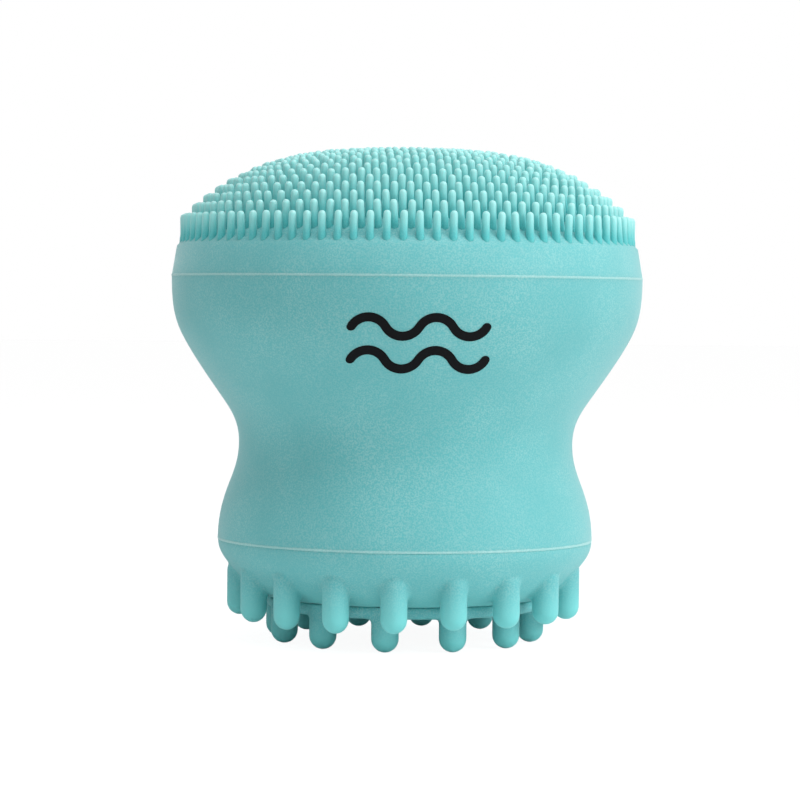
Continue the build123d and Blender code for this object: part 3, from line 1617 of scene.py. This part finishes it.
@dataclass
class Studio:
    """The floor, the light and the camera.

    Attributes:
        distance: from the brush's axis to the camera.
        azimuth: side of the brush that the camera stands on, in degrees from the front.
        eye_level: height of the camera.
        pitch: how far it looks down, in degrees.
        roll: how far it is tipped over, in degrees.
        aside: how far it looks past the axis, in degrees.
        lens: focal length in millimetres.
        sensor: width of the sensor in millimetres.
        floor_size: width of the floor.
        floor_light_pool: two distances from the brush, and the floor's colour at each; painted
            light, brighter near the brush as a painted pool of light that throws more light back
            onto it.
        floor_clearness: how much of the white behind the floor the camera sees through it.
        floor_lift: how much the floor is raised towards white for the camera.
        world_level: strength of the even light from all round.
        lamps: the lamps.
    """

    distance: float = 0.403
    azimuth: float = -3.0
    eye_level: float = 0.0438
    pitch: float = 1.8
    roll: float = -0.55
    aside: float = 0.128
    lens: float = 139.5
    sensor: float = 36.0
    floor_size: float = 6.0
    floor_light_pool: tuple[float, float, float, float] = (0.07, 0.25, 1.0, 0.55)
    floor_clearness: float = 0.8
    floor_lift: float = 0.7
    world_level: float = 0.48
    lamps: tuple[Lamp, ...] = (
        Lamp("key_light", (0.42, -0.25, 0.25), 0.25, 1.3),
        Lamp("top_light", (0.12, -0.2, 0.75), 0.5, 2.7),
    )

    def camera(self) -> None:
        """Add the camera."""
        side = math.radians(self.azimuth)
        deselect_all()
        bpy.ops.object.camera_add(
            location=(
                self.distance * math.sin(side),
                -self.distance * math.cos(side),
                self.eye_level,
            ),
            rotation=(
                math.radians(90 - self.pitch),
                math.radians(self.roll),
                math.radians(self.azimuth + self.aside),
            ),
        )
        camera = bpy.context.object
        camera.name = "studio_camera"
        camera.data.sensor_width = self.sensor
        camera.data.lens = self.lens
        bpy.context.scene.camera = camera

    def floor(self) -> None:
        """Add the white floor, which is part clear to the camera and keeps the shadow."""
        deselect_all()
        bpy.ops.mesh.primitive_plane_add(size=self.floor_size, location=(0, 0, 0))
        plane = bpy.context.object
        plane.name = "studio_floor"
        material = bpy.data.materials.new("white_floor")
        tree = Tree(material, empty=True)
        from_camera = tree.node("ShaderNodeLightPath").outputs["Is Camera Ray"]
        # painted light: the floor is painted brighter near the brush and darker farther off, a
        # painted pool of light
        reach = tree.node("ShaderNodeVectorMath", operation="LENGTH")
        tree.link(tree.node("ShaderNodeTexCoord").outputs["Object"], reach.inputs[0])
        paint = tree.node("ShaderNodeBsdfDiffuse")
        tree.link(tree.spread(reach.outputs["Value"], *self.floor_light_pool), paint.inputs["Color"])
        glow = tree.node("ShaderNodeEmission")
        tree.link(tree.reckon("MULTIPLY", from_camera, self.floor_lift), glow.inputs["Strength"])
        lit = tree.node("ShaderNodeAddShader")
        for shader, socket in zip((paint, glow), lit.inputs):
            tree.link(shader.outputs[0], socket)
        clear = tree.node("ShaderNodeBsdfTransparent")
        share = tree.reckon("MULTIPLY", from_camera, self.floor_clearness)
        tree.finish("ShaderNodeOutputMaterial", share, lit, clear)
        plane.data.materials.append(material)

    def surround(self) -> None:
        """Set the world: an even light, and plain white to the camera and in reflections."""
        world = bpy.data.worlds.new("studio_world")
        bpy.context.scene.world = world
        tree = Tree(world, empty=True)
        rays = tree.node("ShaderNodeLightPath").outputs
        seen = tree.reckon("MAXIMUM", rays["Is Camera Ray"], rays["Is Glossy Ray"])
        seen = tree.reckon("MAXIMUM", seen, rays["Is Transmission Ray"])
        even = tree.node("ShaderNodeBackground", Color=WHITE, strength=self.world_level)
        white = tree.node("ShaderNodeBackground", Color=WHITE, strength=1.0)
        tree.finish("ShaderNodeOutputWorld", seen, even, white)

    def build(self) -> None:
        """Set the whole studio."""
        self.camera()
        self.floor()
        self.surround()
        for lamp in self.lamps:
            lamp.build()
        bpy.context.scene.view_settings.view_transform = "Standard"


# ---- making --------------------------------------------------------------------------------


def report(piece: bpy.types.Object) -> None:
    """Log a finished piece and how many faces it has."""
    LOG.info("%s: %d faces", piece.name, len(piece.data.polygons))


def main() -> None:
    """Build the brush and its studio."""
    logging.basicConfig(level=logging.INFO, format="%(message)s")
    bulb_form, seams = Bulb(), Seams()
    bulb = bulb_form.build()
    report(bulb)
    for piece in PrintedWaves(bulb, bulb_form.soften).build():
        report(piece)
    for piece in BristledHead().build():
        report(piece)
    report(NubbedBase().build())
    report(NubbedPlug().build())
    report(FoamingSponge().build())
    report(seams.flash("upper_seam_flash", bulb_form.shoulder, bulb_form.high, Rider.HEAD))
    report(seams.flash("lower_seam_flash", bulb_form.hip, bulb_form.low, Rider.BULB))
    Studio().build()


if __name__ == "__main__":
    main()
